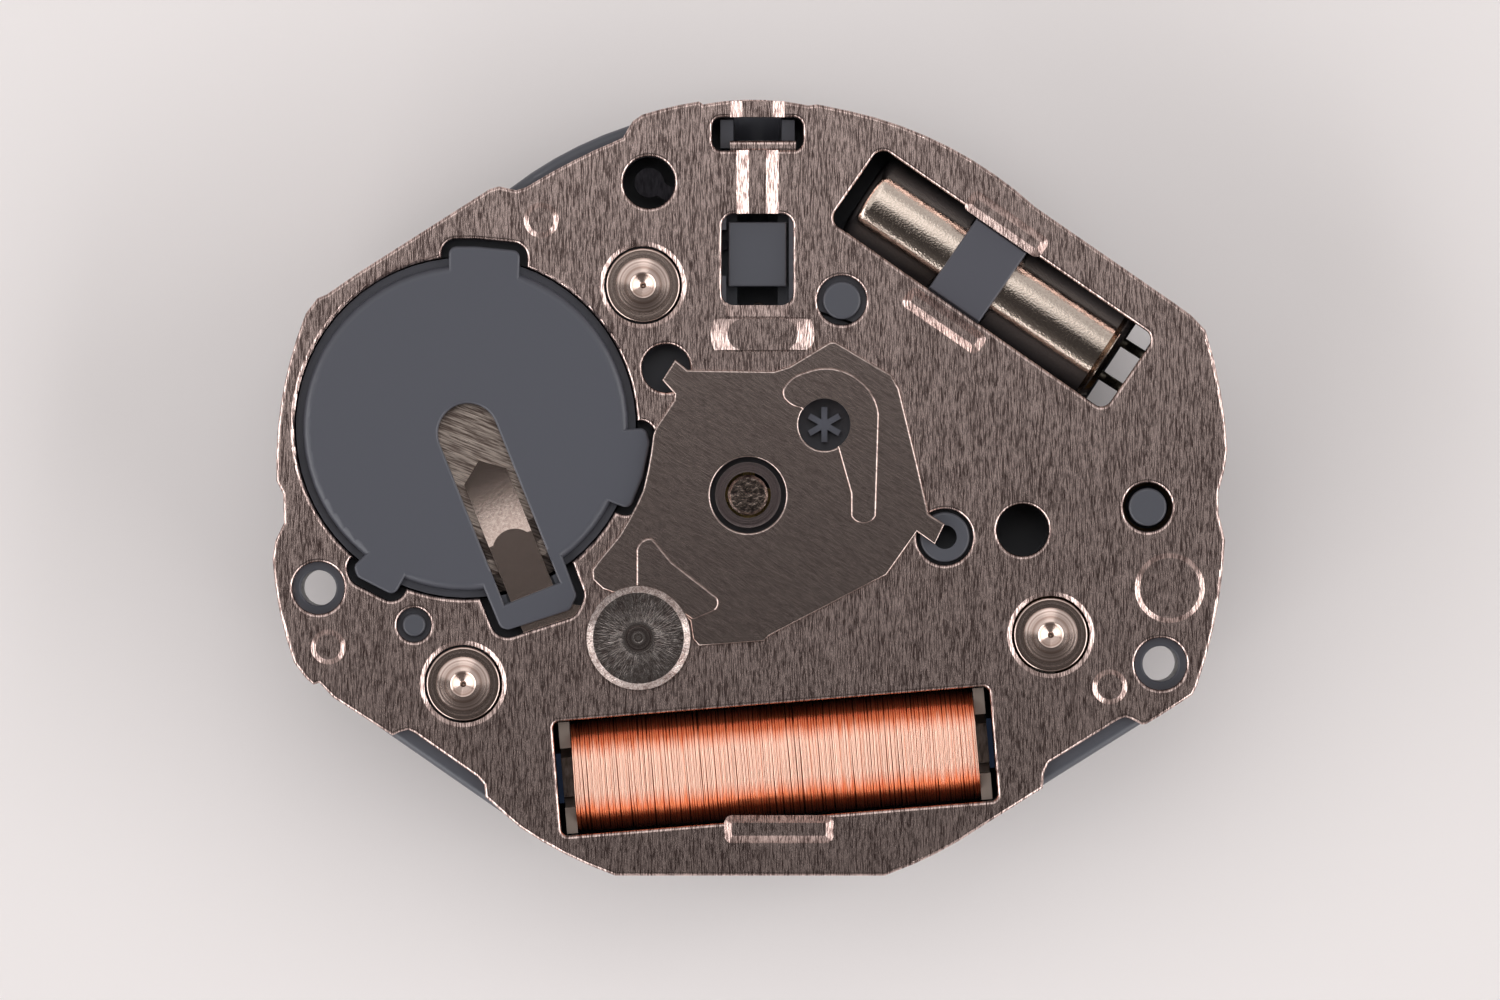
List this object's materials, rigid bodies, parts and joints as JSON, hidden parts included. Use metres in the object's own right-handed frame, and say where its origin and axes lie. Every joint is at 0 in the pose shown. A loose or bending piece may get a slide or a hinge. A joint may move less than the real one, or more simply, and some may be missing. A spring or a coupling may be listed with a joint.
{
  "type": "quartz watch movement",
  "caption": "Flat lozenge-shaped analogue quartz watch movement with button cell, crystal, coil, geared hand drive and setting works, shown from the case-back side.",
  "frame": {"origin": "on the hand axis, in the plane that the dial rests on", "axes": "+X right and +Y towards the stem seen from the case back, +Z out of the case back"},
  "size_m": [0.0193, 0.0157, 0.0047],
  "materials": {
    "black_plastic": "moulded satin",
    "dark_plastic": "moulded satin",
    "cap_plastic": "moulded satin",
    "brushed_cover_steel": "brushed along Y",
    "bridge_steel": "fine diagonal grain",
    "turned_steel": "turned",
    "spring_steel": "rolled",
    "cell_steel": "brushed",
    "can_nickel": "drawn, bright",
    "base_glass": "nickel ring",
    "tinned_wire": "tinned",
    "strap_plastic": "moulded satin",
    "solder": "soldered",
    "core_iron": "annealed",
    "stator_iron": "annealed",
    "enamelled_copper": "enamelled wire",
    "flange_plastic": "moulded",
    "blue_film": "film",
    "board_laminate": "laminate",
    "chip_resin": "resin",
    "gear_brass": "cut",
    "gear_plastic": "moulded",
    "magnet": "sintered"
  },
  "bodies": {
    "movement": {"main_plate": "black_plastic", "cover_plate": "brushed_cover_steel", "centre_bridge": "bridge_steel", "train_bridge": "dark_plastic", "centre_bush": "turned_steel", "battery_cap": "cap_plastic", "button_cell": "cell_steel", "negative_contact": "spring_steel", "positive_contact": "spring_steel", "crystal_can": "can_nickel", "crystal_base": "base_glass", "crystal_leads": "tinned_wire", "crystal_strap": "strap_plastic", "solder_pads": "solder", "coil_core": "core_iron", "coil_winding": "enamelled_copper", "coil_flanges": "flange_plastic", "coil_films": "blue_film", "stator": "stator_iron", "circuit_board": "board_laminate", "integrated_circuit": "chip_resin", "plate_pillars": "turned_steel", "bridge_pin": "turned_steel", "motion_cover": "spring_steel", "motion_screws": "turned_steel"},
    "rotor": {"rotor_magnet": "magnet", "rotor_pinion": "turned_steel"},
    "fifth": {"fifth_wheel": "gear_plastic"},
    "seconds": {"fourth_wheel": "gear_brass", "seconds_arbor": "turned_steel"},
    "third": {"third_wheel": "gear_plastic"},
    "minutes": {"centre_wheel": "gear_brass", "cannon_pinion": "turned_steel"},
    "minute_motion": {"minute_wheel": "gear_plastic"},
    "hours": {"hour_wheel": "gear_brass"},
    "setting_gear": {"setting_wheel": "gear_plastic"},
    "lever": {"setting_lever": "spring_steel"},
    "yoke_arm": {"yoke": "spring_steel"},
    "slider": {"clutch_slider": "dark_plastic"},
    "clutch": {"clutch_wheel": "turned_steel"},
    "hack": {"hack_lever": "spring_steel"}
  },
  "joints": [
    {"name": "seconds_turn", "type": "hinge", "parent": "movement", "child": "seconds", "pos_m": [0, 0, 0.00148], "axis": [0, 0, 1], "continuous": true},
    {"name": "rotor_turn", "type": "hinge", "parent": "movement", "child": "rotor", "pos_m": [0.00068, -0.00318, 0.0008], "axis": [0, 0, 1], "continuous": true},
    {"name": "fifth_turn", "type": "hinge", "parent": "movement", "child": "fifth", "pos_m": [0.00139, -0.00165, 0.00176], "axis": [0, 0, 1], "continuous": true},
    {"name": "third_turn", "type": "hinge", "parent": "movement", "child": "third", "pos_m": [0.00154, 0.00142, 0.00118], "axis": [0, 0, 1], "continuous": true},
    {"name": "minutes_turn", "type": "hinge", "parent": "movement", "child": "minutes", "pos_m": [0, 0, 0.0009], "axis": [0, 0, 1], "continuous": true},
    {"name": "minute_motion_turn", "type": "hinge", "parent": "movement", "child": "minute_motion", "pos_m": [-0.00031, 0.00177, 0.00042], "axis": [0, 0, 1], "continuous": true},
    {"name": "hours_turn", "type": "hinge", "parent": "movement", "child": "hours", "pos_m": [0, 0, 0.0002], "axis": [0, 0, 1], "continuous": true},
    {"name": "setting_gear_turn", "type": "hinge", "parent": "movement", "child": "setting_gear", "pos_m": [0.00021, 0.00373, 0.00042], "axis": [0, 0, 1], "continuous": true},
    {"name": "setting_lever_turn", "type": "hinge", "parent": "movement", "child": "lever", "pos_m": [-0.00135, 0.00595, 0.0021], "axis": [0, 0, 1], "range_deg": [0, 10]},
    {"name": "yoke_turn", "type": "hinge", "parent": "movement", "child": "yoke_arm", "pos_m": [-0.00125, 0.0049, 0.0021], "axis": [0, 0, 1], "range_deg": [-24, 0]},
    {"name": "clutch_slide", "type": "slide", "parent": "movement", "child": "slider", "axis": [0, -1, 0], "range_m": [0, 0.000333]},
    {"name": "clutch_turn", "type": "hinge", "parent": "slider", "child": "clutch", "pos_m": [0.00019, 0.00487, 0.0012], "axis": [0, 1, 0], "continuous": true},
    {"name": "hack_turn", "type": "hinge", "parent": "movement", "child": "hack", "pos_m": [-0.00039, 0.00265, 0.00148], "axis": [0, 0, 1], "range_deg": [0, 4]}
  ],
  "couplings": [
    {"joint": "rotor_turn", "follows": "seconds_turn", "ratio": 30},
    {"joint": "fifth_turn", "follows": "seconds_turn", "ratio": -5},
    {"joint": "third_turn", "follows": "seconds_turn", "ratio": -0.13333},
    {"joint": "minutes_turn", "follows": "seconds_turn", "ratio": 0.016667},
    {"joint": "minute_motion_turn", "follows": "seconds_turn", "ratio": -0.0055556},
    {"joint": "hours_turn", "follows": "seconds_turn", "ratio": 0.0013889},
    {"joint": "setting_gear_turn", "follows": "seconds_turn", "ratio": 0.011111},
    {"joint": "setting_lever_turn", "follows": "clutch_slide", "rad_per_m": 524.12},
    {"joint": "yoke_turn", "follows": "clutch_slide", "rad_per_m": -1257.9},
    {"joint": "hack_turn", "follows": "clutch_slide", "rad_per_m": 209.65}
  ]
}
